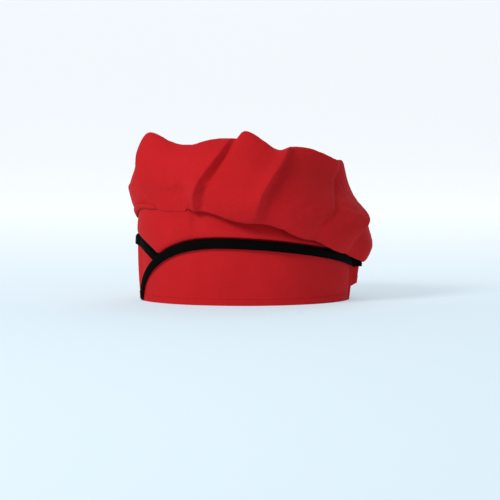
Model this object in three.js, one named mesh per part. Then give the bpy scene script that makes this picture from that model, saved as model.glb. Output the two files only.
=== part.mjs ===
// Chef hat of red cloth: a puffed, pleated crown set into a low band that wraps over itself at the
// front and is gathered on elastic at the back, with black binding on the band's top edges.
// Millimetres, +Z up. The rim rests on z = 0, the side that is looked at faces -Y and the band
// crosses over itself at the left of it. Bearings are degrees, anticlockwise from +X seen from above.
import * as THREE from "three";
import { LoftGeometry } from "three/addons/geometries/LoftGeometry.js";

// The band's oval, measured over the outside of its cloth, and how the rim draws in below.
const HEAD_LENGTH = 200;
const HEAD_WIDTH = 172;
const RIM_TAPER = 2.5;
const TAPER_HEIGHT = 40;

// One front panel, laid out flat: it starts in a point at the rim, rises in a round to its full
// height and falls again towards the back.
const PANEL_HEIGHT = 60;
const ROUND_LENGTH = 104;
const PANEL_LENGTH = 256;
const BACK_DROP = 21.5;
const PANEL_WALL = 1.6;

// The two front panels cross at this bearing and run on past each other.
const CROSSING = -143;
const LAP_LENGTH = 35;
const LAP_FADE = 40;

// The turned end of a front panel, where the gathered piece starts.
const HEM_WIDTH = 4;
const HEM_PROUD = 0.9;

// The gathered back piece.
const BACK_HEM_HEIGHT = 12;
const GATHER_DEPTH = 6.5;
const GATHER_PITCH = 17.5;

// The binding, folded over the cloth's edge.
const BINDING_WIDTH = 8;
const BINDING_WALL = 1;
const BINDING_LIFT = 0.5;

// The crown.
const CROWN_WALL = 1.2;
const CROWN_TUCK = 13.5;
const CROWN_RISE = 96;
const OVERHANG = 12;
const RIDGE_INSET = 16;
const FOLD_DEPTH = 6;
const DISH_DEPTH = 44;
const DISH_SHIFT = 12;
const LIP_ROLL = 7;
const FOOT_OUT = 0.5;

// The space between two layers of cloth.
const GAP = 0.35;

const { degToRad, euclideanModulo, lerp, smoothstep } = THREE.MathUtils;

// Rows of numbers under the names of their columns.
function table(names, ...rows) {
  return rows.map((row) => Object.fromEntries(names.map((name, column) => [name, row[column]])));
}

// The crown's folds, one row each, anticlockwise from the left of the near side.
// foot and ridge are bearings; lip and top are heights, as shares of CROWN_RISE above the band;
// out, puff and face reach past the band and back again, as shares of OVERHANG; inset is a share
// of RIDGE_INSET; before and after are the cloth's steps at the fold, as shares of FOLD_DEPTH;
// width is in degrees; crest is how far the lobe that follows rises between its folds, as a share
// of CROWN_RISE, at the share peak of its width; hang is how far its lip sags.
const FOLDS = table(
  ["foot", "ridge", "lip", "out", "puff", "face", "top", "inset", "before", "after", "width",
    "crest", "peak", "hang"],
  [-153, -163, 0.28, 0.4, 0.6, 0.6, 0.91, 0.2, -0.8, 0.0, 3, 0.07, 0.22, 0.0],
  [-131, -127, 0.325, 0.4, 0.5, 0.1, 0.87, 0.75, -0.15, -0.15, 4, 0.02, 0.5, 0.0],
  [-114, -97, 0.285, 0.55, 0.65, -0.1, 0.95, 1.0, 0.25, -0.6, 5, 0.09, 0.28, 0.03],
  [-84, -68.5, 0.204, 0.9, 0.85, -0.1, 0.825, 0.95, 0.4, -1.0, 3, 0.05, 0.18, 0.0],
  [-55, -14, 0.065, 0.95, 1.05, -0.1, 0.715, 0.45, -0.7, -0.5, 4, 0.0, 0.5, 0.02],
  [-27, 14, -0.01, 0.8, 1.35, -0.5, 0.6, 0.6, 0.2, -0.6, 4, 0.02, 0.4, 0.02],
  [3, 42, -0.03, 0.9, 1.4, -0.4, 0.54, 0.75, 0.3, -0.7, 4, 0.03, 0.5, 0.02],
  [34, 70, -0.02, 0.7, 1.25, -0.15, 0.54, 0.9, 0.3, -0.8, 4, 0.04, 0.4, 0.02],
  [66, 98, 0.06, 0.65, 1.1, -0.2, 0.58, 1.0, 0.3, -0.6, 4, 0.03, 0.5, 0.02],
  [98, 125, 0.11, 0.6, 0.95, -0.2, 0.62, 0.95, 0.3, -0.8, 4, 0.04, 0.4, 0.02],
  [130, 150, 0.12, 0.5, 0.8, -0.1, 0.68, 0.75, 0.3, -0.7, 4, 0.03, 0.5, 0.02],
  [163, 174, 0.14, 0.45, 0.85, -0.5, 0.76, 0.6, 0.2, -0.4, 4, 0.02, 0.5, 0.0],
);
const COLUMNS_PER_LOBE = 7;

// The oval, followed by length from the crossing, anticlockwise.
const oval = new THREE.EllipseCurve(
  0, 0, HEAD_LENGTH / 2, HEAD_WIDTH / 2, degToRad(CROSSING), degToRad(CROSSING + 360));
oval.arcLengthDivisions = 360;
const GIRTH = oval.getLength();

// How far a layer is pushed out or in where the front panels lie over each other.
const LAYER = PANEL_WALL + 2 * (GAP + BINDING_WALL);
const LAP_SHIFT = (LAYER + GAP) / 2;

function lapAt(arc) {
  const apart = Math.min(euclideanModulo(arc, GIRTH), euclideanModulo(-arc, GIRTH));
  return LAP_SHIFT * (1 - smoothstep(apart, LAP_LENGTH + BINDING_WIDTH, LAP_LENGTH + LAP_FADE));
}

// How far the band draws in at a height.
function taperAt(height) {
  return RIM_TAPER * Math.max(0, 1 - height / TAPER_HEIGHT) ** 2;
}

// A point at a length round the oval, a distance out from it and a height.
function wrap(arc, out, height) {
  const share = euclideanModulo(arc / GIRTH, 1);
  const spot = oval.getPointAt(share);
  const along = oval.getTangentAt(share);
  const reach = out - taperAt(height);
  return new THREE.Vector3(spot.x + along.y * reach, spot.y - along.x * reach, height);
}

// The length round the oval at a bearing.
function arcAt(bearing) {
  const lengths = oval.getLengths();
  const step = euclideanModulo((bearing - CROSSING) / 360, 1) * (lengths.length - 1);
  const below = Math.floor(step);
  return lerp(lengths[below], lengths[below + 1] ?? GIRTH, step - below);
}

// A closed solid through sections that each wind the same way.
function loft(sections) {
  return new LoftGeometry(sections, { closed: true, capStart: true, capEnd: true });
}

function piece(name, geometry, material) {
  const mesh = new THREE.Mesh(geometry, material);
  mesh.name = name;
  return mesh;
}

// The height of a front panel's bound edge at a distance from its point.
function edgeHeight(run) {
  const rise = Math.min(run / ROUND_LENGTH, 1);
  const fall = Math.max(0, (run - ROUND_LENGTH) / (PANEL_LENGTH - ROUND_LENGTH));
  return PANEL_HEIGHT * (1 - (1 - rise) ** 2.2) ** (2 / 3) - BACK_DROP * fall ** 1.8;
}

const BACK_TOP = edgeHeight(PANEL_LENGTH);

// The same edge as a curve over the flat panel, with its points closer in the round.
const ROUND_STEPS = 14;
const FALL_STEPS = 8;
const edge = new THREE.SplineCurve([
  ...Array.from({ length: ROUND_STEPS }, (_, step) => ROUND_LENGTH * (step / ROUND_STEPS) ** 1.5),
  ...Array.from({ length: FALL_STEPS + 1 },
    (_, step) => lerp(ROUND_LENGTH, PANEL_LENGTH, step / FALL_STEPS)),
].map((run) => new THREE.Vector2(run, edgeHeight(run))));
const EDGE_LENGTH = edge.getLength();

// A point at a share of the edge and a depth square to it, in the flat panel.
function fromEdge(share, depth) {
  const spot = edge.getPointAt(share);
  const along = edge.getTangentAt(share);
  return new THREE.Vector2(spot.x + along.y * depth, spot.y - along.x * depth);
}

// A front panel is laid round the oval from the crossing, side 1 anticlockwise over the other
// panel and side -1 clockwise under it.
function onPanel(side, run, out, height) {
  const arc = run - LAP_LENGTH;
  return wrap(side * arc, out + side * lapAt(arc), height);
}

// Sections are turned round on side -1, so that they still wind the same way.
function turned(side, section) {
  return side > 0 ? section : section.reverse();
}

const PANEL_LEVELS = [0, 0.2, 0.45, 0.7, 1];
const PANEL_STEPS = 36;
const HEM_START = PANEL_LENGTH - HEM_WIDTH;

function panelSection(side, run, top, proud) {
  const outer = PANEL_LEVELS.map((level) => onPanel(side, run, proud, top * level));
  const inner = PANEL_LEVELS.map((level) => onPanel(side, run, -PANEL_WALL, top * level));
  return turned(side, [...inner, ...outer.reverse()]);
}

function frontPanel(side) {
  const tuck = BINDING_WALL + GAP;
  const first = 2 * tuck / EDGE_LENGTH;
  const last = (EDGE_LENGTH - HEM_WIDTH - GAP / 2) / EDGE_LENGTH;
  const sections = [];
  for (let step = 0; step <= PANEL_STEPS; step++) {
    const spot = fromEdge(lerp(first, last, step / PANEL_STEPS), tuck);
    sections.push(panelSection(side, spot.x, spot.y, 0));
  }
  for (const share of [0, 0.5, 1]) {
    const run = lerp(HEM_START, PANEL_LENGTH, share);
    sections.push(panelSection(side, run, edgeHeight(run), HEM_PROUD));
  }
  return loft(sections);
}

// The binding's section as depth from the edge and distance out from the cloth's outer face.
const OUTER = GAP + BINDING_WALL;
const INNER = -PANEL_WALL - OUTER;
const BINDING_SECTION = table(
  ["depth", "out"],
  [0, OUTER],
  [0, INNER],
  [BINDING_WIDTH, INNER],
  [BINDING_WIDTH, INNER + BINDING_WALL],
  [BINDING_WALL, INNER + BINDING_WALL],
  [BINDING_WALL, GAP],
  [BINDING_WIDTH, GAP],
  [BINDING_WIDTH, OUTER],
);
const BINDING_STEPS = 44;

function frontBinding(side) {
  const first = BINDING_LIFT / EDGE_LENGTH;
  const last = (EDGE_LENGTH - HEM_WIDTH - GAP) / EDGE_LENGTH;
  const sections = [];
  for (let step = 0; step <= BINDING_STEPS; step++) {
    const share = lerp(first, last, step / BINDING_STEPS);
    const section = BINDING_SECTION.map(({ depth, out }) => {
      const spot = fromEdge(share, depth);
      return onPanel(side, spot.x, out, Math.max(BINDING_LIFT, spot.y));
    });
    sections.push(turned(side, section.reverse()));
  }
  return loft(sections);
}

// The gathered piece runs from the end of one front panel to the end of the other.
const BACK_START = PANEL_LENGTH - LAP_LENGTH + GAP;
const BACK_LENGTH = GIRTH - 2 * BACK_START;
const GATHERS = Math.round(BACK_LENGTH / GATHER_PITCH);
const STEPS_PER_GATHER = 8;
const BACK_STEPS = GATHERS * STEPS_PER_GATHER;

function gatherAt(share) {
  return GATHER_DEPTH * (0.5 - 0.5 * Math.cos(2 * Math.PI * GATHERS * share));
}

function backSections(profile) {
  const sections = [];
  for (let step = 0; step <= BACK_STEPS; step++) {
    const share = step / BACK_STEPS;
    const arc = BACK_START + BACK_LENGTH * share;
    sections.push(profile.map(({ out, height }) => wrap(arc, out + gatherAt(share), height)));
  }
  return sections;
}

function backPiece() {
  const top = BACK_TOP - BINDING_WALL - GAP;
  const levels = [0, 0.45, 1].map((level) => lerp(BACK_HEM_HEIGHT, top, level));
  return loft(backSections([
    ...levels.map((height) => ({ out: -PANEL_WALL, height })),
    ...levels.reverse().map((height) => ({ out: 0, height })),
  ]));
}

function backBinding() {
  const profile = BINDING_SECTION.map(({ depth, out }) => ({ out, height: BACK_TOP - depth }));
  return loft(backSections(profile.reverse()));
}

// The height of the band's top at a length round the oval, and the same without the notch where
// the panels cross, which the crown's lip passes straight over.
function bandTop(arc) {
  const apart = Math.min(arc, GIRTH - arc);
  return edgeHeight(Math.min(apart + LAP_LENGTH, PANEL_LENGTH));
}

function browTop(arc) {
  const apart = Math.min(arc, GIRTH - arc);
  return edgeHeight(Math.min(Math.max(apart + LAP_LENGTH, ROUND_LENGTH), PANEL_LENGTH));
}

// The reach of the band's outside at a length round the oval.
function bandReach(arc) {
  const apart = Math.min(arc, GIRTH - arc);
  const back = smoothstep(apart, BACK_START - LAP_FADE, BACK_START);
  return OUTER + GATHER_DEPTH * back;
}

// A crown point at a bearing, a distance out from the oval and a height.
function around(bearing, out, height) {
  const angle = degToRad(bearing);
  return new THREE.Vector3(
    (HEAD_LENGTH / 2 + out) * Math.cos(angle), (HEAD_WIDTH / 2 + out) * Math.sin(angle), height);
}

// A smooth change between a fold's value and the next fold's.
function between(fold, next, name, share) {
  return lerp(fold[name], next[name], (1 - Math.cos(Math.PI * share)) / 2);
}

// The lobe's face steps back after a fold and comes forward to the next one.
function foldStep(fold, next, share) {
  return FOLD_DEPTH * (fold.after * (1 - share) ** 2 + next.before * share ** 3);
}

// One line down the crown, from its top to its foot, at a share of a lobe's width.
function crownLine(fold, next, share) {
  const foot = lerp(fold.foot + fold.width / 2, next.foot - next.width / 2, share);
  const ridge = lerp(fold.ridge + fold.width / 2, next.ridge - next.width / 2, share);
  const value = (name) => between(fold, next, name, share);
  const arc = arcAt(foot);
  const base = bandTop(arc);
  const reach = bandReach(arc);
  const step = foldStep(fold, next, share);
  const bump = Math.sin(Math.PI * share ** (Math.log(0.5) / Math.log(fold.peak))) ** 2;
  const inside = INNER - 1.5 * GAP - lapAt(arc);
  const footHeight = BACK_TOP - CROWN_TUCK;
  const ridgeTop = PANEL_HEIGHT + CROWN_RISE * (value("top") + fold.crest * bump);
  const brow = browTop(arc);
  const lip = brow + CROWN_RISE * (value("lip") - fold.hang * Math.sin(Math.PI * share));
  const over = Math.max(lip + 0.4 * LIP_ROLL, brow + CROWN_WALL + LIP_ROLL / 2);
  const out = reach + OVERHANG * value("out");
  const inset = -RIDGE_INSET * value("inset");
  const spot = (lean, distance, height) => around(lerp(foot, ridge, lean), distance, height);
  const top = spot(1, inset, ridgeTop);
  const dish = new THREE.Vector3(DISH_SHIFT, 0, PANEL_HEIGHT + CROWN_RISE - DISH_DEPTH);
  const towards = (inward, fall) => new THREE.Vector3(
    lerp(top.x, dish.x, inward), lerp(top.y, dish.y, inward), lerp(top.z, dish.z, fall));
  return new THREE.CatmullRomCurve3([
    dish,
    towards(0.6, 0.85),
    towards(0.25, 0.45),
    top.clone().add(around(ridge, 0, 0).setLength(0.3 * step).setZ(0)),
    spot(0.75, OVERHANG * value("face") + step, lerp(lip, ridgeTop, 0.78)),
    spot(0.35, OVERHANG * value("puff") + step, lerp(lip, ridgeTop, 0.38)),
    spot(0.05, out + 0.6 * step, lip + LIP_ROLL),
    spot(0, out - 0.35 * LIP_ROLL + 0.3 * step, lip),
    spot(0, lerp(FOOT_OUT, out, 0.5), over),
    spot(0, FOOT_OUT, over),
    spot(0, lerp(inside, FOOT_OUT, 0.7), lerp(base, over, 0.45)),
    spot(0, inside, base + CROWN_WALL + GAP),
    spot(0, inside - taperAt(footHeight), footHeight),
  ], false, "centripetal");
}

// The rings run from the point in the middle of the top, where all their lines meet, down to the
// foot. The cloth's inner face lies one wall inside them.
function shell(rings, wall) {
  const at = (row, column) => rings[row][euclideanModulo(column, rings[row].length)];
  const inner = rings.map((ring, row) => ring.map((spot, column) => {
    if (row === 0) return spot.clone().setZ(spot.z - wall);
    const down = at(Math.min(row + 1, rings.length - 1), column).clone().sub(at(row - 1, column));
    const round = at(row, column + 1).clone().sub(at(row, column - 1));
    return down.cross(round).setLength(-wall).add(spot);
  }));
  return new LoftGeometry([...inner, ...rings.reverse()], { closed: true });
}

const CROWN_ROWS = 20;

function crown() {
  const lines = FOLDS.flatMap((fold, index) => {
    const next = { ...FOLDS[(index + 1) % FOLDS.length] };
    const turn = index + 1 < FOLDS.length ? 0 : 360;
    next.foot += turn;
    next.ridge += turn;
    return Array.from({ length: COLUMNS_PER_LOBE },
      (_, column) => crownLine(fold, next, column / (COLUMNS_PER_LOBE - 1)));
  });
  const rings = Array.from({ length: CROWN_ROWS + 1 },
    (_, row) => lines.map((line) => line.getPoint(row / CROWN_ROWS)));
  return shell(rings, CROWN_WALL);
}

const redCloth = () => new THREE.MeshStandardMaterial({ color: 0xc42026, roughness: 0.85, metalness: 0 });
const blackBinding = () => new THREE.MeshStandardMaterial({ color: 0x04100e, roughness: 0.6, metalness: 0 });

const hat = new THREE.Group();
hat.add(
  piece("crown", crown(), redCloth()),
  piece("band_near", frontPanel(1), redCloth()),
  piece("band_far", frontPanel(-1), redCloth()),
  piece("back_panel", backPiece(), redCloth()),
  piece("binding_near", frontBinding(1), blackBinding()),
  piece("binding_far", frontBinding(-1), blackBinding()),
  piece("binding_back", backBinding(), blackBinding()),
);

// The origin is under the middle of the hat, on the surface that it stands on.
const size = new THREE.Box3().setFromObject(hat);
const middle = size.getCenter(new THREE.Vector3());
hat.position.set(-middle.x, -middle.y, -size.min.z);

export default hat;
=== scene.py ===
# %% [markdown]
# # A red chef hat with black binding
# The hat is sewn from flat cloth. A round crown is pleated into a low band, the band laps over
# itself in two rounded ends at the brow, a gathered piece closes it at the back, and a black tape
# binds the band's top edges. Here every piece of cloth starts as a flat grid and is then laid
# where the sewn hat holds it. All sizes are in metres.

# %% Load the frame
import bisect
import math

import bmesh
import bpy
from mathutils import Matrix, Vector, geometry, noise


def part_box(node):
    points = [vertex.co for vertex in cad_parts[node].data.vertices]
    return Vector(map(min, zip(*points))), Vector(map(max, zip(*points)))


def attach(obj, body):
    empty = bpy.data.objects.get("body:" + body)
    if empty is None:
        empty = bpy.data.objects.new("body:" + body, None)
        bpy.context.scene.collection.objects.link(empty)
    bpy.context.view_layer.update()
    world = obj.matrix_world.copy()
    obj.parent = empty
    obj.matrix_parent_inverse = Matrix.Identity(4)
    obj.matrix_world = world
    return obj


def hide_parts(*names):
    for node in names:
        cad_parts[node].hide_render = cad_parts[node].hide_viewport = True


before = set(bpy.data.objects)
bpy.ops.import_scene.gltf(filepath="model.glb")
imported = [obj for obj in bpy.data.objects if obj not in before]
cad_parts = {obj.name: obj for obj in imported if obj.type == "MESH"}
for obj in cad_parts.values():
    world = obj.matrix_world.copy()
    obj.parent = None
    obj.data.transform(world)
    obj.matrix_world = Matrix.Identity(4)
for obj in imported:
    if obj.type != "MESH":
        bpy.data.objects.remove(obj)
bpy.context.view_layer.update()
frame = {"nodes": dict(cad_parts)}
print("nodes:", ", ".join(frame["nodes"]))

# %% [markdown]
# The hat stands round a head's oval, so every piece is laid out by two lengths: how far round the
# oval from the place at the brow where the band's ends cross, and how far out from it. The oval
# is measured over the outside of the band's cloth. Below a certain height the rim draws in a
# little, as a band does once it is off the head.

# %% The head's oval
HEAD_LENGTH = 0.200
HEAD_WIDTH = 0.172
RIM_TAPER = 0.0025
TAPER_HEIGHT = 0.040
CROSSING = math.radians(-143)
OVAL_STEPS = 1440


def on_oval(angle, out=0.0):
    """A point on the oval, or a distance outside it, as an ellipse with longer half axes."""
    return Vector(((HEAD_LENGTH / 2 + out) * math.cos(angle), (HEAD_WIDTH / 2 + out) * math.sin(angle), 0))


oval_angles = [CROSSING + 2 * math.pi * step / OVAL_STEPS for step in range(OVAL_STEPS + 1)]
oval_lengths = [0.0]
for before, after in zip(oval_angles, oval_angles[1:]):
    oval_lengths.append(oval_lengths[-1] + (on_oval(after) - on_oval(before)).length)
GIRTH = oval_lengths[-1]
print("the band measures", round(GIRTH, 4), "round")


def looked_up(value, known, wanted):
    """What goes with a value, between the two known ones beside it."""
    spot = min(max(bisect.bisect_right(known, value) - 1, 0), len(known) - 2)
    share = (value - known[spot]) / (known[spot + 1] - known[spot])
    return wanted[spot] + (wanted[spot + 1] - wanted[spot]) * share


def mix(a, b, share):
    return a + (b - a) * share


def smooth(value, low, high):
    """0 below low, 1 above high and a smooth rise between."""
    share = min(max((value - low) / (high - low), 0.0), 1.0)
    return share * share * (3 - 2 * share)


def taper_at(height):
    return RIM_TAPER * max(0.0, 1 - height / TAPER_HEIGHT) ** 2


def wrap(arc, out, height):
    """A point a length round the oval from the crossing, a distance out from it, at a height."""
    angle = looked_up(arc % GIRTH, oval_lengths, oval_angles)
    along = Vector((-HEAD_LENGTH * math.sin(angle), HEAD_WIDTH * math.cos(angle), 0)).normalized()
    reach = out - taper_at(height)
    return on_oval(angle) + Vector((along.y * reach, -along.x * reach, height))


# %% [markdown]
# Each front panel is a flat strip. Its bound edge starts in a point at the rim, rises in a round
# to the full height and falls again towards the back. The binding and its stitches follow that
# edge, so it is measured once by length. The panels lie over each other at the brow, and there
# the upper one is pushed out a little and the lower one pressed in by the rest.

# %% The front panel's flat shape
PANEL_HEIGHT = 0.060
ROUND_LENGTH = 0.104
PANEL_LENGTH = 0.256
BACK_DROP = 0.0215
PANEL_WALL = 0.0016
LAP_LENGTH = 0.035
LAP_FADE = 0.022
HEM_WIDTH = 0.004
HEM_PROUD = 0.0009
BINDING_WIDTH = 0.008
BINDING_WALL = 0.001
BINDING_LIFT = 0.0005
GAP = 0.00035
EDGE_STEPS = 400


def edge_height(run):
    """The height of the bound edge at a distance from the panel's point."""
    rise = min(run / ROUND_LENGTH, 1.0)
    fall = max(0.0, (run - ROUND_LENGTH) / (PANEL_LENGTH - ROUND_LENGTH))
    return PANEL_HEIGHT * (1 - (1 - rise) ** 2.2) ** (2 / 3) - BACK_DROP * fall**1.8


BACK_TOP = edge_height(PANEL_LENGTH)
edge_runs = [PANEL_LENGTH * (step / EDGE_STEPS) ** 2 for step in range(EDGE_STEPS + 1)]
edge_heights = [edge_height(run) for run in edge_runs]
edge_lengths = [0.0]
for step in range(EDGE_STEPS):
    run_step = edge_runs[step + 1] - edge_runs[step]
    stretch = math.hypot(run_step, edge_heights[step + 1] - edge_heights[step])
    edge_lengths.append(edge_lengths[-1] + stretch)
EDGE_LENGTH = edge_lengths[-1]
EDGE_NUDGE = 0.0005


def on_edge(length):
    run = looked_up(length, edge_lengths, edge_runs)
    return Vector((run, looked_up(length, edge_lengths, edge_heights)))


def from_edge(length, depth):
    """A point of the flat panel, a depth square to its edge."""
    low = max(length - EDGE_NUDGE, 0.0)
    high = min(length + EDGE_NUDGE, EDGE_LENGTH)
    along = (on_edge(high) - on_edge(low)).normalized()
    return on_edge(length) + Vector((along.y, -along.x)) * depth


LAP_OUT = 0.0010
LAP_IN = PANEL_WALL + 2 * (GAP + BINDING_WALL) + GAP - LAP_OUT


def lap_at(side, arc):
    """How far a panel is pushed out or in where the two pass over each other."""
    apart = min(arc % GIRTH, -arc % GIRTH)
    lapped = 1 - smooth(apart, LAP_LENGTH + BINDING_WIDTH / 2, LAP_LENGTH + LAP_FADE)
    return lapped * (LAP_OUT if side > 0 else -LAP_IN)


# %% [markdown]
# The oval's middle isn't quite the frame's origin, because the crown leans over one end. The
# packed band says where it is: the panels' outermost faces are compared with the same points
# laid out round the bare oval.

# %% Where the oval stands in the frame
near_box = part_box("band_near")
far_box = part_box("band_far")
hem_corner = wrap(PANEL_LENGTH - LAP_LENGTH, HEM_PROUD, TAPER_HEIGHT)
MIDDLE = Vector((near_box[1][0] - hem_corner.x, (near_box[0][1] + far_box[1][1]) / 2, 0))
print("the oval's middle:", [round(value * 1000, 2) for value in MIDDLE], "mm")

# %% [markdown]
# The camera comes first, because everything is judged through it. It looks along +Y and slightly
# down, from far back through a long lens, so that the band's lower edge shows as an almost
# straight line.

# %% The camera
PICTURE_SIDE = 500
METRES_TO_A_PIXEL = 0.000935
CAMERA_DISTANCE = 2.5
AIM = MIDDLE + Vector((0.0047, 0, 0.0451))
CAMERA_RISE = math.radians(3.9)
camera_data = bpy.data.cameras.new("camera")
camera_data.sensor_width = 36
camera_data.lens = camera_data.sensor_width * CAMERA_DISTANCE / (PICTURE_SIDE * METRES_TO_A_PIXEL)
camera = bpy.data.objects.new("camera", camera_data)
bpy.context.scene.collection.objects.link(camera)
camera.location = AIM + CAMERA_DISTANCE * Vector((0, -math.cos(CAMERA_RISE), math.sin(CAMERA_RISE)))
camera.rotation_euler = (AIM - camera.location).to_track_quat("-Z", "Y").to_euler()
bpy.context.scene.camera = camera
print("lens:", round(camera_data.lens, 1), "mm")

# %% [markdown]
# A pale floor runs back and turns up into a wall through a wide round, so that no horizon shows.
# It is a strip of two straight stretches whose corner is bevelled. It glows, bluer in front and
# whiter farther back, which stands for the even light of a studio and softens the hat's shadow.

# %% The floor and the light round it
FLOOR_WIDTH = 6.0
FLOOR_FRONT = -3.0
FLOOR_BACK = 3.6
WALL_HEIGHT = 3.0
CORNER_ROUND = 0.9
floor_mesh = bmesh.new()
bmesh.ops.create_grid(floor_mesh, x_segments=1, y_segments=1, size=0.5)
for vert in floor_mesh.verts:
    vert.co = (vert.co.x * FLOOR_WIDTH, mix(FLOOR_FRONT, FLOOR_BACK, vert.co.y + 0.5), 0)
back_edge = max(floor_mesh.edges, key=lambda edge: sum(vert.co.y for vert in edge.verts))
raised = bmesh.ops.extrude_edge_only(floor_mesh, edges=[back_edge])
bmesh.ops.translate(
    floor_mesh,
    vec=(0, 0, WALL_HEIGHT),
    verts=[piece for piece in raised["geom"] if isinstance(piece, bmesh.types.BMVert)],
)
bmesh.ops.bevel(
    floor_mesh, geom=[back_edge], offset=CORNER_ROUND, affect="EDGES", segments=24, profile=0.5, material=-1
)
bmesh.ops.recalc_face_normals(floor_mesh, faces=floor_mesh.faces)
for face in floor_mesh.faces:
    face.smooth = True
floor_data = bpy.data.meshes.new("floor")
floor_mesh.to_mesh(floor_data)
floor_mesh.free()
floor = bpy.data.objects.new("floor", floor_data)
bpy.context.scene.collection.objects.link(floor)

floor_paint = bpy.data.materials.new("floor_paint")
floor_paint.use_nodes = True
floor_nodes = floor_paint.node_tree.nodes
floor_links = floor_paint.node_tree.links
floor_shader = floor_nodes["Principled BSDF"]
floor_shader.inputs["Base Color"].default_value = (0.45, 0.48, 0.50, 1)
floor_shader.inputs["Roughness"].default_value = 0.9
floor_shader.inputs["Emission Strength"].default_value = 1
floor_place = floor_nodes.new("ShaderNodeTexCoord")
floor_axes = floor_nodes.new("ShaderNodeSeparateXYZ")
floor_links.new(floor_place.outputs["Object"], floor_axes.inputs["Vector"])
farther = floor_nodes.new("ShaderNodeMapRange")
farther.inputs["From Min"].default_value = -0.1
farther.inputs["From Max"].default_value = 1.5
floor_links.new(floor_axes.outputs["Y"], farther.inputs["Value"])
glow = floor_nodes.new("ShaderNodeValToRGB")
glow.color_ramp.elements[0].color = (0.337, 0.435, 0.490, 1)
glow.color_ramp.elements[1].color = (0.633, 0.650, 0.665, 1)
floor_links.new(farther.outputs["Result"], glow.inputs["Fac"])
floor_links.new(glow.outputs["Color"], floor_shader.inputs["Emission Color"])
floor_data.materials.append(floor_paint)

world = bpy.data.worlds.new("soft room")
world.use_nodes = True
world.node_tree.nodes["Background"].inputs["Color"].default_value = (0.86, 0.94, 1.0, 1)
world.node_tree.nodes["Background"].inputs["Strength"].default_value = 0.38
bpy.context.scene.world = world
bpy.context.scene.view_settings.view_transform = "Standard"


def area_light(name, place, size, power):
    """A square lamp that faces the hat."""
    data = bpy.data.lights.new(name, "AREA")
    data.size = size
    data.energy = power
    lamp = bpy.data.objects.new(name, data)
    lamp.location = place
    lamp.rotation_euler = (AIM - lamp.location).to_track_quat("-Z", "Y").to_euler()
    bpy.context.scene.collection.objects.link(lamp)


area_light("key", Vector((-1.5, -1.4, 1.5)), 0.8, 36)
area_light("fill", Vector((1.6, -1.8, 0.7)), 1.6, 2.5)
area_light("back", Vector((0.4, 1.2, 1.6)), 1.0, 6)

# %% [markdown]
# All of the cloth is one cotton twill in one red. Its colour wanders slightly with the dye, the
# threads are a fine bump in the cloth's own flat coordinates, so the weave bends with every fold,
# and a low sheen stands for the loose fibres. The binding is the same recipe in black with a
# finer, plain weave, less gloss and no sheen.


# %% Cloth materials
WAVE_STEP = 20


def cloth(name, colour, dark_colour, threads, roughness, gloss, sheen, bump, twill):
    """A woven cloth whose bands follow the piece's UV map and lie closer for more threads."""
    material = bpy.data.materials.new(name)
    material.use_nodes = True
    nodes = material.node_tree.nodes
    links = material.node_tree.links
    shader = nodes["Principled BSDF"]
    shader.inputs["Roughness"].default_value = roughness
    shader.inputs["Specular IOR Level"].default_value = gloss
    shader.inputs["Sheen Weight"].default_value = sheen
    shader.inputs["Sheen Roughness"].default_value = 0.5
    shader.inputs["Sheen Tint"].default_value = (*(min(1.0, 0.25 + value) for value in colour), 1)

    flat = nodes.new("ShaderNodeUVMap")
    flat.uv_map = "flat"
    solid = nodes.new("ShaderNodeTexCoord")

    dye = nodes.new("ShaderNodeTexNoise")
    dye.inputs["Scale"].default_value = 28
    dye.inputs["Detail"].default_value = 5
    dye.inputs["Roughness"].default_value = 0.6
    links.new(solid.outputs["Object"], dye.inputs["Vector"])

    warp = nodes.new("ShaderNodeTexWave")
    warp.wave_type = "BANDS"
    warp.bands_direction = "DIAGONAL" if twill else "X"
    warp.inputs["Scale"].default_value = threads / WAVE_STEP
    warp.inputs["Distortion"].default_value = 0.6
    warp.inputs["Detail"].default_value = 1
    links.new(flat.outputs["UV"], warp.inputs["Vector"])

    weft = nodes.new("ShaderNodeTexWave")
    weft.wave_type = "BANDS"
    weft.bands_direction = "Y"
    weft.inputs["Scale"].default_value = threads / WAVE_STEP
    weft.inputs["Distortion"].default_value = 0.6
    weft.inputs["Detail"].default_value = 1
    links.new(flat.outputs["UV"], weft.inputs["Vector"])

    weave = nodes.new("ShaderNodeMath")
    weave.operation = "MULTIPLY"
    links.new(warp.outputs["Fac"], weave.inputs[0])
    links.new(weft.outputs["Fac"], weave.inputs[1])

    shade = nodes.new("ShaderNodeMath")
    shade.operation = "MULTIPLY_ADD"
    shade.inputs[1].default_value = 0.08
    links.new(weave.outputs["Value"], shade.inputs[0])
    links.new(dye.outputs["Fac"], shade.inputs[2])

    ramp = nodes.new("ShaderNodeValToRGB")
    ramp.color_ramp.elements[0].position = 0.3
    ramp.color_ramp.elements[0].color = (*dark_colour, 1)
    ramp.color_ramp.elements[1].position = 0.85
    ramp.color_ramp.elements[1].color = (*colour, 1)
    links.new(shade.outputs["Value"], ramp.inputs["Fac"])
    links.new(ramp.outputs["Color"], shader.inputs["Base Color"])

    fuzz = nodes.new("ShaderNodeTexNoise")
    fuzz.inputs["Scale"].default_value = 900
    fuzz.inputs["Detail"].default_value = 3
    links.new(solid.outputs["Object"], fuzz.inputs["Vector"])
    relief = nodes.new("ShaderNodeMath")
    relief.operation = "MULTIPLY_ADD"
    relief.inputs[1].default_value = 0.35
    links.new(fuzz.outputs["Fac"], relief.inputs[0])
    links.new(weave.outputs["Value"], relief.inputs[2])
    thread_bump = nodes.new("ShaderNodeBump")
    thread_bump.inputs["Strength"].default_value = bump
    thread_bump.inputs["Distance"].default_value = 0.0002
    links.new(relief.outputs["Value"], thread_bump.inputs["Height"])
    links.new(thread_bump.outputs["Normal"], shader.inputs["Normal"])
    return material


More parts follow.
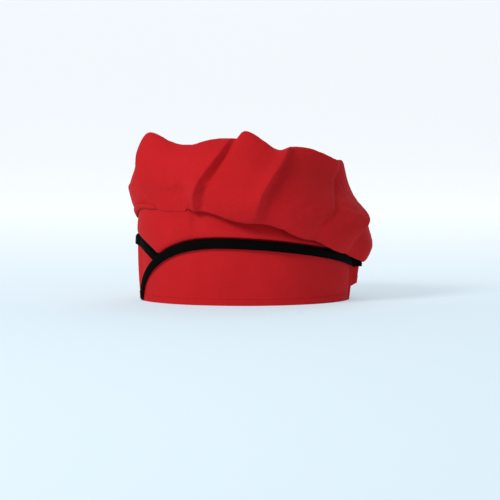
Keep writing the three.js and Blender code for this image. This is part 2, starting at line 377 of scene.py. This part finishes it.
red_twill = cloth("red_twill", (0.60, 0.012, 0.0155), (0.52, 0.009, 0.012), 2200, 0.85, 0.12, 0.05, 0.2, True)
black_tape = cloth(
    "black_tape", (0.0020, 0.0018, 0.0017), (0.0008, 0.0008, 0.0007), 3000, 0.8, 0.04, 0.0, 0.3, False
)
red_thread = cloth("red_thread", (0.56, 0.010, 0.013), (0.42, 0.007, 0.010), 4000, 0.6, 0.15, 0.0, 0.3, False)
black_thread = cloth(
    "black_thread", (0.006, 0.008, 0.008), (0.002, 0.004, 0.004), 4000, 0.5, 0.15, 0.0, 0.3, False
)
cloths = (red_twill, black_tape, red_thread, black_thread)
print("materials:", ", ".join(material.name for material in cloths))

# %% [markdown]
# A piece of cloth starts as a flat grid from one operator. A rule then says where each of its
# points goes and keeps the point's flat place in the UV map, so the weave keeps its scale. The
# wall is added last by modifiers: subdivision rounds the grid and Solidify gives the cloth its
# thickness inwards, so the outside stays where the rule puts it.


# %% Cloth from a grid
def cloth_piece(name, columns, rows, place, wall, material, turned=False, pole=False, levels=1):
    """A grid laid out by place(u, v), which gives each point and its spot on the flat cloth."""
    mesh = bmesh.new()
    bmesh.ops.create_grid(mesh, x_segments=columns, y_segments=rows, size=0.5)
    flat_map = mesh.loops.layers.uv.new("flat")
    flat_spots = {}
    for vert in mesh.verts:
        point, flat_spots[vert] = place(vert.co.x + 0.5, vert.co.y + 0.5)
        vert.co = point
    for face in mesh.faces:
        face.smooth = True
        for loop in face.loops:
            loop[flat_map].uv = flat_spots[loop.vert]
    if turned:
        bmesh.ops.reverse_faces(mesh, faces=mesh.faces)
    if pole:
        bmesh.ops.remove_doubles(mesh, verts=mesh.verts, dist=1e-6)
    return finish_cloth(name, mesh, wall, material, levels)


def finish_cloth(name, mesh, wall, material, levels):
    data = bpy.data.meshes.new(name)
    mesh.to_mesh(data)
    mesh.free()
    data.materials.append(material)
    piece = bpy.data.objects.new(name, data)
    bpy.context.scene.collection.objects.link(piece)
    if levels:
        rounding = piece.modifiers.new("rounding", "SUBSURF")
        rounding.levels = levels
        rounding.render_levels = levels
    thickness = piece.modifiers.new("thickness", "SOLIDIFY")
    thickness.thickness = wall
    thickness.offset = -1
    return piece


def declare(piece, slot, *nodes):
    """Every piece of the hat rides on its one body and stands for its solids."""
    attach(piece, "root")
    if nodes:
        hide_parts(*nodes)


# %% [markdown]
# A front panel is stiffened cloth with a turned hem along the rim and a rolled hem up its back
# end. The hems stand a little proud, and the cloth between them waves very slightly, as cloth
# does that was folded flat. The waves come from smooth noise and fade out at the rim, so that
# the panel still stands flat.

# %% The front panels
RIM_HEM = 0.0070
RIM_HEM_PROUD = 0.00045
RIM_HEM_STEP = 0.0012
SEAM_SINK = 0.0008
SEAM_WIDTH = 0.0009
SEAM_INSET = 0.0006
ROLL_FULLNESS = 1.3
HEM_SHARE = 0.06
ROW_CROWDING = 1.15
CORNER_LIFT = 0.0032
PANEL_WAVE = 0.0009
PANEL_COLUMNS = 180
PANEL_ROWS = 36
TUCK = BINDING_WALL + GAP


def panel_wave(side, run, height):
    """How far the cloth stands out or in by its slight waves."""
    broad = noise.noise(Vector((run * 22, height * 14, 3.0 * side)))
    fine = noise.noise(Vector((run * 60 + height * 40, height * 25, 7.0 * side)))
    rise = smooth(height, 0.0, 0.020) * smooth(edge_height(run) - height, 0.001, 0.012)
    return (PANEL_WAVE * broad + 0.35 * PANEL_WAVE * fine) * rise


def hem_at(run, height):
    """How far the hems stand proud."""
    rim = RIM_HEM_PROUD * (1 - smooth(height, RIM_HEM - RIM_HEM_STEP, RIM_HEM))
    inward = (PANEL_LENGTH - HEM_WIDTH / 2 - run) / (HEM_WIDTH / 2)
    roll = ROLL_FULLNESS * HEM_PROUD * math.sqrt(max(0.0, 1 - inward * inward))
    seam = SEAM_SINK * math.exp(-(((PANEL_LENGTH - HEM_WIDTH - SEAM_INSET - run) / SEAM_WIDTH) ** 2))
    return max(rim, roll) - seam


def on_panel(side, run, out, height):
    """A point of a front panel, laid round the oval from the crossing."""
    arc = run - LAP_LENGTH
    return MIDDLE + wrap(side * arc, out + lap_at(side, arc), height)


def front_panel(side, name):
    start = 2 * TUCK
    end = EDGE_LENGTH - HEM_WIDTH - GAP / 2

    def place(u, v):
        if u < 1 - HEM_SHARE:
            spot = from_edge(mix(start, end, u / (1 - HEM_SHARE)), TUCK)
        else:
            run = mix(PANEL_LENGTH - HEM_WIDTH, PANEL_LENGTH, (u - 1 + HEM_SHARE) / HEM_SHARE)
            spot = Vector((run, edge_height(run)))
        corner = min(max(0.0, (spot.x - PANEL_LENGTH + HEM_WIDTH) / HEM_WIDTH), 1.0)
        lowest = CORNER_LIFT * (1 - math.sqrt(1 - corner**2))
        height = mix(lowest, max(spot.y, lowest), v**ROW_CROWDING)
        out = hem_at(spot.x, height) + panel_wave(side, spot.x, height)
        return on_panel(side, spot.x, out, height), (spot.x, height)

    return cloth_piece(name, PANEL_COLUMNS, PANEL_ROWS, place, PANEL_WALL, red_twill, turned=side < 0)


near_panel = front_panel(1, "band_near_cloth")
far_panel = front_panel(-1, "band_far_cloth")
declare(near_panel, "band_cloth", "band_near")
declare(far_panel, "band_cloth", "band_far")

# %% [markdown]
# The binding is a bias tape folded over the panel's edge. Its section is laid out as a length of
# tape: up the inside, round the fold and down the outside. Its lower margins are turned under,
# so they stand a little thicker, and a row of stitches presses a groove into them.

# %% The bindings
OUTER = GAP + BINDING_WALL
INNER = -PANEL_WALL - OUTER
TAPE_WALL = 0.0009
FOLD_RADIUS = (OUTER - INNER) / 2
TAPE_SIDE = BINDING_WIDTH - FOLD_RADIUS
TAPE_LENGTH = 2 * TAPE_SIDE + math.pi * FOLD_RADIUS
TURNED_UNDER = 0.0030
TURNED_PROUD = 0.00022
TURNED_STEP = 0.0006
GROOVE_WIDTH = 0.0005
PUCKER = 0.00016
STITCH_DEPTH = 0.0066
STITCH_SINK = 0.0003
TAPE_COLUMNS = 260
TAPE_ROWS = 26


def tape_section(share):
    """Depth from the edge and distance out, at a share of the tape from its inner margin."""
    length = TAPE_LENGTH * share
    if length < TAPE_SIDE:
        return BINDING_WIDTH - length, INNER, -1
    if length > TAPE_LENGTH - TAPE_SIDE:
        return BINDING_WIDTH - (TAPE_LENGTH - length), OUTER, 1
    turn = (length - TAPE_SIDE) / FOLD_RADIUS
    return FOLD_RADIUS * (1 - math.sin(turn)), INNER + FOLD_RADIUS * (1 - math.cos(turn)), 0


def tape_relief(length, depth, seed):
    """The turned margin, the stitches' groove and small puckers, as a distance off the cloth."""
    margin = BINDING_WIDTH - TURNED_UNDER
    turned = TURNED_PROUD * smooth(depth, margin - TURNED_STEP, margin)
    groove = STITCH_SINK * math.exp(-(((depth - STITCH_DEPTH) / GROOVE_WIDTH) ** 2))
    pucker = PUCKER * noise.noise(Vector((length * 160, depth * 90, seed)))
    return turned - groove + pucker


def front_binding(side, name):
    start = BINDING_LIFT
    end = EDGE_LENGTH - HEM_WIDTH - GAP

    def place(u, v):
        length = mix(start, end, u)
        depth, out, face = tape_section(v)
        spot = from_edge(length, depth)
        relief = face * min(tape_relief(length, depth, 11.0 * side + 5 * face), TURNED_PROUD)
        height = max(BINDING_LIFT + TAPE_WALL, spot.y)
        return on_panel(side, spot.x, out + relief, height), (length, TAPE_LENGTH * v)

    return cloth_piece(name, TAPE_COLUMNS, TAPE_ROWS, place, TAPE_WALL, black_tape, turned=side < 0, levels=0)


near_tape = front_binding(1, "binding_near_tape")
far_tape = front_binding(-1, "binding_far_tape")
declare(near_tape, "binding_tape", "binding_near")
declare(far_tape, "binding_tape", "binding_far")
print("tape:", round(TAPE_LENGTH * 1000, 1), "mm wide,", round(EDGE_LENGTH * 1000, 1), "mm long")

# %% [markdown]
# The gathered piece at the back is flat cloth drawn together by elastic in its binding. Its waves
# are tightest at the top and open downwards, and no two are alike, so each wave's phase and depth
# is moved a little by noise.

# %% The gathered back
BACK_HEM_HEIGHT = 0.012
BACK_HEM = 0.007
BACK_HEM_PROUD = 0.0004
BACK_HEM_STEP = 0.001
HEM_RISE = 0.003
GATHER_DEPTH = 0.0065
GATHER_PITCH = 0.0175
SECOND_GATHER = 0.0007
BACK_START = PANEL_LENGTH - LAP_LENGTH + GAP
BACK_LENGTH = GIRTH - 2 * BACK_START
BACK_CLOTH = 1.35 * BACK_LENGTH
GATHERS = round(BACK_LENGTH / GATHER_PITCH)
BACK_COLUMNS = 240
BACK_ROWS = 24


def gather_at(share):
    return GATHER_DEPTH * (0.5 - 0.5 * math.cos(2 * math.pi * GATHERS * share))


def gather_wave(share, height):
    """The waves of the cloth, with small second gathers that die out below the elastic."""
    sway = 0.004 * noise.noise(Vector((share * 9, height * 30, 2.0)))
    near_elastic = smooth(height, BACK_HEM_HEIGHT, BACK_TOP)
    turn = 2 * math.pi * GATHERS * 2.5 * share + 4 * noise.noise(Vector((share * 14, 0, 5.0)))
    ends = smooth(share, 0, 0.02) * smooth(1 - share, 0, 0.02)
    slack = mix(0.8, 1.0, near_elastic)
    second = SECOND_GATHER * near_elastic * math.sin(turn) * ends
    return max(0.0, slack * gather_at(share + sway * ends) + second)


def back_place(u, v):
    arc = BACK_START + BACK_LENGTH * u
    lowest = BACK_HEM_HEIGHT + HEM_RISE * gather_at(u) / GATHER_DEPTH
    height = mix(lowest, BACK_TOP - TUCK, v)
    hem = BACK_HEM_PROUD * (1 - smooth(height - lowest, BACK_HEM - BACK_HEM_STEP, BACK_HEM))
    point = MIDDLE + wrap(arc, gather_wave(u, height) + hem, height)
    return point, (BACK_CLOTH * u, height)


back_cloth = cloth_piece("back_panel_cloth", BACK_COLUMNS, BACK_ROWS, back_place, PANEL_WALL, red_twill)
declare(back_cloth, "band_cloth", "back_panel")


def back_tape_place(u, v):
    arc = BACK_START + BACK_LENGTH * u
    depth, out, face = tape_section(v)
    height = BACK_TOP - depth
    relief = face * min(tape_relief(arc, depth, 31.0 + 5 * face), TURNED_PROUD)
    point = MIDDLE + wrap(arc, out + gather_wave(u, BACK_TOP) + relief, height)
    return point, (BACK_CLOTH * u, TAPE_LENGTH * v)


back_tape = cloth_piece(
    "binding_back_tape", BACK_COLUMNS, TAPE_ROWS, back_tape_place, TAPE_WALL, black_tape, levels=0
)
declare(back_tape, "binding_tape", "binding_back")
print("gathers:", GATHERS)

# %% [markdown]
# The crown is one round of cloth, pleated into the band. Its pleats run from the lip that hangs
# over the band up to the crown's edge and fade out in the slack top. A table holds one row for
# each pleat, and the line down the cloth at any place between two pleats is worked out from the
# rows beside it: from the dish in the middle of the top, over the edge, down the puffed side,
# round the lip and back under it, and down inside the band, where the seam is.

# %% The crown's pleats
CROWN_WALL = 0.0012
CROWN_TUCK = 0.0135
CROWN_RISE = 0.096
OVERHANG = 0.012
RIDGE_INSET = 0.016
FOLD_DEPTH = 0.008
DISH_DEPTH = 0.044
DISH_SHIFT = 0.012
LIP_ROLL = 0.010
LIP_SOFT = 0.005
FOOT_OUT = 0.0005
FOOT_SLOPE = 0.006
FOOT_RISE = 0.001

COLUMNS = ("foot", "ridge", "lip", "out", "puff", "face", "top", "inset", "before", "after",
           "width", "crest", "peak", "hang", "bend", "flat", "puff_at", "face_at", "dip")
FOLD_ROWS = (
    (-153, -163, 0.28, 0.3, 0.75, 0.6, 0.935, 0.2, -0.8, 0, 3, 0.07, 0.22, 0, 1.0, 0.3, 0.36, 0.78, 0),
    (-126, -127, 0.31, 0.02, 0.35, 0.1, 0.89, 0.75, -0.05, -0.05, 4, 0.02, 0.5, 0, 1.2, 0.3, 0.38, 0.78, 0),
    (-114, -96, 0.26, 0.75, 1, -0.1, 0.95, 1, 0.3, -0.9, 4, 0.075, 0.14, 0.02, 1.7, 0.3, 0.38, 0.78, 0.045),
    (-84, -60, 0.165, 1.15, 1.25, -0.1, 0.87, 0.95, 0.65, -0.45, 3, 0.015, 0.5, 0, 2.1, 0.6, 0.38, 0.78, 0),
    (-55, -14, 0.055, 1.0, 1.05, -0.1, 0.73, 0.45, -0.9, -1.2, 4, 0, 0.5, 0.02, 1.0, 0.2, 0.38, 0.72, 0),
    (-27, 14, -0.01, 0.85, 1.45, 0, 0.62, 0.6, 0.2, -0.6, 4, 0.02, 0.4, 0.02, 1.0, 0.2, 0.4, 0.7, 0),
    (3, 42, -0.03, 0.85, 1.35, 0.1, 0.54, 0.75, 0.3, -0.7, 4, 0.03, 0.5, 0.02, 1.0, 0.2, 0.4, 0.74, 0),
    (34, 70, -0.02, 0.7, 1.25, -0.15, 0.54, 0.9, 0.3, -0.8, 4, 0.04, 0.4, 0.02, 1.0, 0.2, 0.38, 0.78, 0),
    (66, 98, 0.06, 0.65, 1.1, -0.2, 0.58, 1.0, 0.3, -0.6, 4, 0.03, 0.5, 0.02, 1.0, 0.2, 0.38, 0.78, 0),
    (98, 125, 0.11, 0.6, 0.95, -0.2, 0.62, 0.95, 0.3, -0.8, 4, 0.04, 0.4, 0.02, 1.0, 0.2, 0.38, 0.78, 0),
    (130, 150, 0.12, 0.5, 0.8, -0.1, 0.68, 0.75, 0.3, -0.7, 4, 0.03, 0.5, 0.02, 1.0, 0.2, 0.38, 0.78, 0),
    (163, 174, 0.14, 0.5, 0.95, -0.4, 0.77, 0.6, 0.2, -0.4, 4, 0.02, 0.5, 0, 1.0, 0.2, 0.5, 0.76, 0),
)
folds = [dict(zip(COLUMNS, row)) for row in FOLD_ROWS]
print("pleats:", len(folds))

# %% [markdown]
# A line down the crown is worked out from the row of the pleat before it and the row of the one
# after it. It passes thirteen points, which a smooth curve joins.


# %% One line down the crown
def arc_at(bearing):
    """The length round the oval at a bearing."""
    turn = (math.radians(bearing) - CROSSING) % (2 * math.pi)
    return looked_up(turn + CROSSING, oval_angles, oval_lengths)


def band_top(arc):
    apart = min(arc, GIRTH - arc)
    return edge_height(min(apart + LAP_LENGTH, PANEL_LENGTH))


def brow_top(arc):
    """The band's top without the notch at the crossing, which the lip passes straight over."""
    apart = min(arc, GIRTH - arc)
    return edge_height(min(max(apart + LAP_LENGTH, ROUND_LENGTH), PANEL_LENGTH))


def band_reach(arc):
    apart = min(arc, GIRTH - arc)
    return OUTER + GATHER_DEPTH * smooth(apart, BACK_START - LAP_FADE, BACK_START)


def around(bearing, out, height):
    return on_oval(math.radians(bearing), out) + Vector((0, 0, height))


def crown_line(fold, following, share):
    """The points that the cloth passes on its way from the top's middle to the foot."""
    half_turn = (1 - math.cos(math.pi * share)) / 2
    foot = mix(fold["foot"] + fold["width"] / 2, following["foot"] - following["width"] / 2, share)
    ridge = mix(fold["ridge"] + fold["width"] / 2, following["ridge"] - following["width"] / 2, share)

    def value(name):
        return mix(fold[name], following[name], half_turn)

    arc = arc_at(foot)
    base = band_top(arc)
    brow = brow_top(arc)
    step = FOLD_DEPTH * (fold["after"] * (1 - share) ** 2 + following["before"] * share**3)
    bump = math.sin(math.pi * share ** (math.log(0.5) / math.log(fold["peak"]))) ** 2
    inside = INNER - 1.5 * GAP + lap_at(-1, arc)
    foot_height = BACK_TOP - CROWN_TUCK
    dip = fold["dip"] * math.sin(math.pi * share**2.5) ** 2
    ridge_top = PANEL_HEIGHT + CROWN_RISE * (value("top") + fold["crest"] * bump - dip)
    lip = brow + CROWN_RISE * (value("lip") - fold["hang"] * math.sin(math.pi * share))
    roll = LIP_ROLL * smooth(value("out"), 0.0, 0.6)
    foot_out = FOOT_OUT - FOOT_SLOPE * smooth(value("out"), 0.2, 1.0)
    soft = LIP_SOFT * (1 - smooth(value("out"), 0.0, 0.5))
    over = max(lip + 0.8 * roll - soft, brow + CROWN_WALL + LIP_ROLL / 2)
    out = band_reach(arc) + OVERHANG * value("out")

    def spot(lean, distance, height):
        return around(mix(foot, ridge, lean), distance, height)

    top = spot(1, -RIDGE_INSET * value("inset"), ridge_top)
    dish = Vector((DISH_SHIFT, 0, PANEL_HEIGHT + CROWN_RISE - DISH_DEPTH))

    def on_side(name):
        """The face's and the puff's place on the side, by their share of the way up it."""
        up = value(name + "_at")
        return spot(up ** value("bend"), OVERHANG * value(name) + step, mix(lip, ridge_top, up))

    def towards(inward, fall):
        return Vector((mix(top.x, dish.x, inward), mix(top.y, dish.y, inward), mix(top.z, dish.z, fall)))

    return [
        dish,
        towards(0.6, 0.85),
        towards(0.25, 0.45),
        top + on_oval(math.radians(ridge)).normalized() * (0.3 * step),
        on_side("face"),
        on_side("puff"),
        spot(0.05, out + 0.6 * step, lip + 1.25 * LIP_ROLL),
        spot(0, out - 0.7 * roll + 0.3 * step, lip),
        spot(0, mix(foot_out, out, 0.5), over),
        spot(0, foot_out, over),
        spot(0, FOOT_OUT, min(base + CROWN_WALL + GAP + FOOT_RISE, mix(base, over, 0.6))),
        spot(0, inside, base + CROWN_WALL + GAP),
        spot(0, inside - taper_at(foot_height), foot_height),
    ]


def through(points, steps):
    """A smooth line through points, with steps of its own on each stretch between two of them."""
    points = [2 * points[0] - points[1], *points, 2 * points[-1] - points[-2]]
    line = []
    for index in range(1, len(points) - 2):
        a, b, c, d = points[index - 1 : index + 3]
        ab, bc, cd = (max(math.sqrt((q - p).length), 1e-6) for p, q in ((a, b), (b, c), (c, d)))
        leaving = ((b - a) / ab - (c - a) / (ab + bc) + (c - b) / bc) * bc
        arriving = ((c - b) / bc - (d - b) / (bc + cd) + (d - c) / cd) * bc
        stretch = geometry.interpolate_bezier(b, b + leaving / 3, c - arriving / 3, c, steps[index - 1] + 1)
        line.extend(stretch[:-1])
    return line + [points[-2]]


# %% [markdown]
# The grid for the crown has its columns round the hat and its rows down the lines. Between the
# pleats the columns are spread evenly, and each pleat's own step gets a few columns, which
# smoothing then rounds into a soft fold. CLOTH_RADIUS is a guess at the cut's radius, and is too
# small: the lines laid here are 218 to 268 mm long.

# %% The crown's cloth
LOBE_COLUMNS = 13
STEP_COLUMNS = 3
STRETCH_STEPS = (9, 7, 5, 6, 8, 6, 3, 3, 3, 3, 3, 3)
CROWN_COLUMNS = len(folds) * (LOBE_COLUMNS + STEP_COLUMNS)
CROWN_ROWS = sum(STRETCH_STEPS)
CLOTH_RADIUS = 0.21
RIDGE_ROW = sum(STRETCH_STEPS[:3])
BELLY_ROW = sum(STRETCH_STEPS[:5])
LIP_ROW = sum(STRETCH_STEPS[:7])


def flattened(lobe, flat):
    """The lines between two pleats, drawn towards the straight way from one pleat to the next."""
    first, last = lobe[0], lobe[-1]
    for column, line in enumerate(lobe[1:-1], 1):
        for row, point in enumerate(line):
            hold = flat * smooth(row, RIDGE_ROW, RIDGE_ROW + 4) * (1 - smooth(row, BELLY_ROW, LIP_ROW))
            straight = first[row].lerp(last[row], column / (len(lobe) - 1))
            line[row] = point.lerp(straight, hold)
    return lobe


def crown_lines():
    """The lines down the crown, anticlockwise from the first pleat, the first one again last."""
    lines = []
    for index, fold in enumerate(folds):
        following = dict(folds[(index + 1) % len(folds)])
        if index + 1 == len(folds):
            following["foot"] += 360
            following["ridge"] += 360
        lobe = [through(crown_line(fold, following, column / LOBE_COLUMNS), STRETCH_STEPS)
                for column in range(LOBE_COLUMNS + 1)]
        lines.extend(flattened(lobe, fold["flat"]))
        if index + 1 < len(folds):
            after_next = dict(folds[(index + 2) % len(folds)])
            if index + 2 == len(folds):
                after_next["foot"] += 360
                after_next["ridge"] += 360
        else:
            after_next = folds[1]
            following = folds[0]
        start = lines[-1]
        end = through(crown_line(following, after_next, 0), STRETCH_STEPS)
        for column in range(1, STEP_COLUMNS):
            lines.append([a.lerp(b, column / STEP_COLUMNS) for a, b in zip(start, end)])
    return lines + [lines[0]]


lines = crown_lines()
line_length = sum((b - a).length for a, b in zip(lines[0], lines[0][1:]))
print("columns:", len(lines) - 1, "rows:", CROWN_ROWS, "line:", round(line_length, 3))


def crown_place(u, v):
    column = round(u * CROWN_COLUMNS)
    row = round((1 - v) * CROWN_ROWS)
    return MIDDLE + lines[column][row], (u * GIRTH, row / CROWN_ROWS * CLOTH_RADIUS)


crown = cloth_piece("crown_cloth", CROWN_COLUMNS, CROWN_ROWS, crown_place, CROWN_WALL, red_twill, pole=True)

# %% [markdown]
# The folds above come from a rule, so they are too even for cloth. A short cloth simulation
# settles them. Each point is held towards its place: fully at the seam and in the middle of the
# top, where the grid's lines crowd together, strongly at the lip and loosely on the puffed sides
# and the rest of the top. The cloth is allowed to grow by a little, so that it has slack to
# pucker with, and gravity pulls the slack down. Each point moves by no more than a small cap, so
# the hat keeps the shape in the picture.

# %% Let the crown settle
SETTLE_FRAMES = 14
SETTLE_CAP = 0.0035
SLACK = 0.035
HELD_TOP = 0.45
HELD_SIDE = 0.62
HELD_LIP = 0.85
MIDDLE_ROWS = (3, 12)


def hold_at(row):
    """How firmly a point of a row is held, by the part of the crown it lies in."""
    if row >= LIP_ROW + 3:
        return 1.0
    top = mix(1.0, HELD_TOP, smooth(row, *MIDDLE_ROWS))
    upper = mix(top, HELD_SIDE, smooth(row, RIDGE_ROW - 6, RIDGE_ROW))
    return mix(upper, HELD_LIP, smooth(row, BELLY_ROW, LIP_ROW))


def settle(piece, holds):
    """Runs the cloth simulation, moves the points by what it found, and takes it off again."""
    group = piece.vertex_groups.new(name="hold")
    for index, weight in enumerate(holds):
        group.add([index], weight, "REPLACE")
    kept = [(modifier, modifier.show_viewport) for modifier in piece.modifiers]
    for modifier in piece.modifiers:
        modifier.show_viewport = False
    sim = piece.modifiers.new("settle", "CLOTH")
    sim.settings.quality = 6
    sim.settings.mass = 0.1
    sim.settings.tension_stiffness = 20
    sim.settings.compression_stiffness = 20
    sim.settings.shear_stiffness = 5
    sim.settings.bending_stiffness = 0.05
    sim.settings.air_damping = 2
    sim.settings.shrink_min = -SLACK
    sim.settings.vertex_group_mass = group.name
    sim.collision_settings.use_collision = False
    sim.point_cache.frame_start = 1
    sim.point_cache.frame_end = SETTLE_FRAMES
    scene = bpy.context.scene
    for step in range(1, SETTLE_FRAMES + 1):
        scene.frame_set(step)
    settled = piece.evaluated_get(bpy.context.evaluated_depsgraph_get())
    moves = [after.co - before.co for before, after in zip(piece.data.vertices, settled.data.vertices)]
    piece.modifiers.remove(sim)
    scene.frame_set(1)
    for vert, move in zip(piece.data.vertices, moves):
        vert.co += move * min(1.0, SETTLE_CAP / max(move.length, 1e-9))
    for modifier, shown in kept:
        modifier.show_viewport = shown
    piece.vertex_groups.remove(group)
    return max(move.length for move in moves)


crown_rows = {}
for column, line in enumerate(lines):
    for row, point in enumerate(line):
        crown_rows.setdefault(tuple(round(value, 6) for value in MIDDLE + point), row)
holds = []
for vert in crown.data.vertices:
    holds.append(hold_at(crown_rows[tuple(round(value, 6) for value in vert.co)]))
print("the cloth moved by up to", round(settle(crown, holds) * 1000, 2), "mm before the cap")
declare(crown, "crown_cloth", "crown")

# %% [markdown]
# Every seam is a row of lockstitches, one every three millimetres. Each stitch is a small bead
# drawn out along the seam, sunk at both ends, and all the stitches of a seam are one mesh. They
# follow the same rules as the cloth they hold, so they lie in it wherever it waves.

# %% Stitches
STITCH_PITCH = 0.0030
STITCH_LENGTH = 0.0023
STITCH_WIDTH = 0.00055
STITCH_PROUD = 0.00045
STITCH_MARGIN = 0.0009
RIM_STITCH = RIM_HEM - STITCH_MARGIN
SIDE_STITCH = PANEL_LENGTH - HEM_WIDTH + 0.0004
STITCHES_FROM = 0.0125
TAPE_OUT = OUTER + TURNED_PROUD - STITCH_SINK
TAPE_IN = INNER - TURNED_PROUD + STITCH_SINK


def stitch_row(name, seams, material, slot):
    """Stitches along seams, each given by at(length), its first and its last length."""
    mesh = bmesh.new()
    flat_map = mesh.loops.layers.uv.new("flat")
    for at, first, last in seams:
        for index in range(int((last - first) / STITCH_PITCH)):
            middle = first + (index + 0.5) * STITCH_PITCH
            place, outward = at(middle)
            along = (at(middle + EDGE_NUDGE)[0] - at(middle - EDGE_NUDGE)[0]).normalized()
            across = outward.cross(along).normalized()
            up = along.cross(across)
            shape = Matrix((along * STITCH_LENGTH, across * STITCH_WIDTH, up * STITCH_PROUD)).transposed()
            shape = Matrix.Translation(place) @ shape.to_4x4()
            bmesh.ops.create_uvsphere(mesh, u_segments=6, v_segments=4, radius=0.5, matrix=shape)
    for face in mesh.faces:
        face.smooth = True
        for loop in face.loops:
            loop[flat_map].uv = (loop.vert.co.x, loop.vert.co.z)
    bmesh.ops.recalc_face_normals(mesh, faces=mesh.faces)
    data = bpy.data.meshes.new(name)
    mesh.to_mesh(data)
    mesh.free()
    data.materials.append(material)
    piece = bpy.data.objects.new(name, data)
    bpy.context.scene.collection.objects.link(piece)
    declare(piece, slot)
    print(name, len(data.polygons))


def outward_at(place, face):
    return face * Vector((place.x - MIDDLE.x, (place.y - MIDDLE.y) * 1.25, 0)).normalized()


def along_rim(side):
    def at(run):
        place = on_panel(side, run, RIM_HEM_PROUD + panel_wave(side, run, RIM_STITCH), RIM_STITCH)
        return place, outward_at(place, 1)

    return at, STITCHES_FROM, SIDE_STITCH


def along_side(side):
    def at(height):
        place = on_panel(side, SIDE_STITCH, hem_at(SIDE_STITCH, height), height)
        return place, outward_at(place, 1)

    return at, CORNER_LIFT, BACK_TOP - BINDING_WIDTH


def along_tape(side, face):
    def at(length):
        spot = from_edge(length, STITCH_DEPTH)
        place = on_panel(side, spot.x, TAPE_OUT if face > 0 else TAPE_IN, spot.y)
        return place, outward_at(place, face)

    return at, STITCHES_FROM / 2, EDGE_LENGTH - HEM_WIDTH - STITCH_PITCH


def along_back(height, out, face):
    def at(arc):
        share = (arc - BACK_START) / BACK_LENGTH
        rise = HEM_RISE * gather_at(share) / GATHER_DEPTH if height < BACK_TOP / 2 else 0.0
        level = BACK_TOP if height > BACK_TOP / 2 else height + rise
        place = MIDDLE + wrap(arc, out + gather_wave(share, level), height + rise)
        return place, outward_at(place, face)

    return at, BACK_START + STITCH_PITCH, BACK_START + BACK_LENGTH - STITCH_PITCH


tape_height = BACK_TOP - STITCH_DEPTH
for side, name in ((1, "near"), (-1, "far")):
    stitch_row(name + "_hem_stitches", [along_rim(side), along_side(side)], red_thread, "band_cloth")
    tape_seams = [along_tape(side, 1), along_tape(side, -1)]
    stitch_row(name + "_tape_stitches", tape_seams, black_thread, "binding_tape")
hem_seam = along_back(BACK_HEM_HEIGHT + BACK_HEM - STITCH_MARGIN, BACK_HEM_PROUD, 1)
stitch_row("back_hem_stitches", [hem_seam], red_thread, "band_cloth")
back_seams = [along_back(tape_height, TAPE_OUT, 1), along_back(tape_height, TAPE_IN, -1)]
stitch_row("back_tape_stitches", back_seams, black_thread, "binding_tape")
